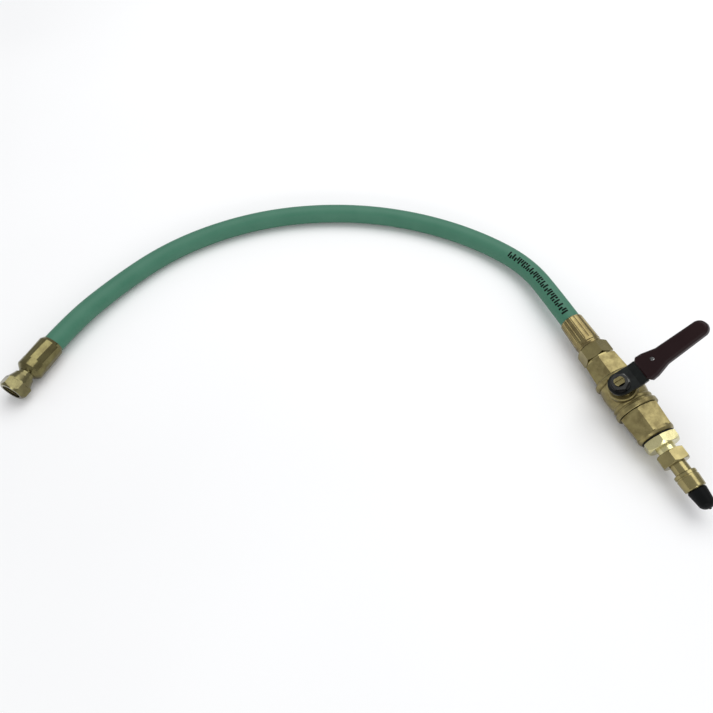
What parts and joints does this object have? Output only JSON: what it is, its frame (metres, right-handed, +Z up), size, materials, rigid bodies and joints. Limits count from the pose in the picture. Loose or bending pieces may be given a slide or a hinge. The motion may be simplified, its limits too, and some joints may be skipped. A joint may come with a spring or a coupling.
{
  "type": "dispensing hose with ball valve nozzle",
  "caption": "Short green rubber hose with a swivel nut inlet, a lever ball valve and a small capped brass nozzle.",
  "frame": {"origin": "middle of the footprint of the valve, lever and nozzle, on the table they lie on", "axes": "+X along the valve from the hose to the nozzle, +Z up from the table, +Y the way the lever points"},
  "size_m": [0.4169, 0.5031, 0.0951],
  "materials": {
    "hose_rubber": "satin, faintly chalky",
    "ferrule_brass": "crimped, die marked",
    "turned_brass": "turned, lightly tarnished",
    "forged_brass": "forged and tumbled, tarnished",
    "bright_brass": "turned, bright",
    "ball_chrome": "polished",
    "ptfe": "smooth",
    "dark_steel": "black, semi-gloss",
    "plated_steel": "dull plated",
    "grip_vinyl": "dipped vinyl, satin",
    "black_rubber": "matt",
    "fibre": "pressed fibre"
  },
  "bodies": {
    "hose_and_valve": {"hose": "hose_rubber", "inlet_ferrule": "ferrule_brass", "inlet_nipple": "turned_brass", "inlet_seal": "fibre", "outlet_ferrule": "ferrule_brass", "outlet_nipple": "turned_brass", "valve_body": "forged_brass", "body_cap": "forged_brass", "body_seal": "ptfe", "inlet_seat": "ptfe", "outlet_seat": "ptfe", "packing_ring": "ptfe", "packing_washer": "turned_brass", "packing_nut": "turned_brass", "bushing_washer": "black_rubber", "bushing": "bright_brass", "nozzle_body": "turned_brass", "nozzle_collar": "turned_brass", "spout_ring": "black_rubber"},
    "lever_set": {"ball": "ball_chrome", "stem": "turned_brass", "thrust_washer": "ptfe", "lever": "dark_steel", "lever_grip": "grip_vinyl", "lock_washer": "plated_steel", "lever_nut": "plated_steel"},
    "inlet_nut": {"swivel_nut": "turned_brass"},
    "rubber_cap": {"outlet_cap": "black_rubber"}
  },
  "joints": [
    {"name": "lever_turn", "type": "hinge", "parent": "hose_and_valve", "child": "lever_set", "pos_m": [-0.01185, -0.00678, 0.01705], "axis": [0, -0.5225, 0.8526], "range_deg": [0, 90]},
    {"name": "nut_spin", "type": "hinge", "parent": "hose_and_valve", "child": "inlet_nut", "pos_m": [-0.21545, -0.45038, 0.0116], "axis": [0.7071, -0.7071, 0], "continuous": true},
    {"name": "cap_pull", "type": "slide", "parent": "hose_and_valve", "child": "rubber_cap", "axis": [1, 0, 0], "range_m": [0, 0.02]}
  ]
}
